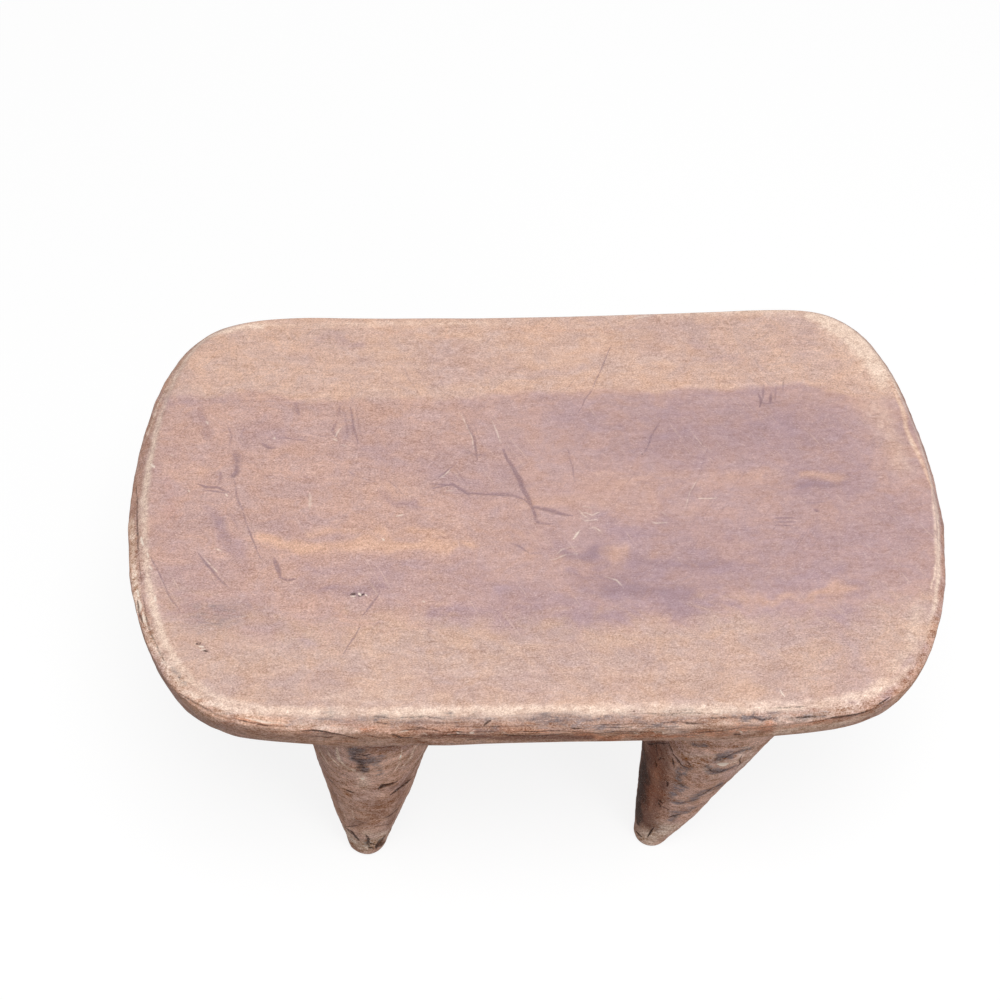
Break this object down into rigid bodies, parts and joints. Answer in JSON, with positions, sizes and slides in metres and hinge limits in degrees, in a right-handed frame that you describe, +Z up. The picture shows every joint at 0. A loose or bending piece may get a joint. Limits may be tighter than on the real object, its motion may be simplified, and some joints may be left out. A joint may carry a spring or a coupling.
{
  "type": "senufo stool",
  "caption": "Low wooden stool with a thick saddle-topped oblong seat, rounded corners and tapering round legs, in the form carved from one log.",
  "frame": {"origin": "on the floor, under the middle of the stool's box", "axes": "+X along the seat's length towards the picture's right, +Y towards the back, +Z up"},
  "size_m": [0.5619, 0.3563, 0.252],
  "materials": {
    "seat_wood": "hand-adzed pale pinkish-brown hardwood, worn smooth and stained by use, satin",
    "leg_wood": "hand-adzed hardwood, darker and less polished than the seat, satin"
  },
  "bodies": {
    "root": {"seat": "seat_wood", "leg_front_left": "leg_wood", "leg_front_right": "leg_wood", "leg_back_left": "leg_wood", "leg_back_right": "leg_wood"}
  },
  "joints": []
}
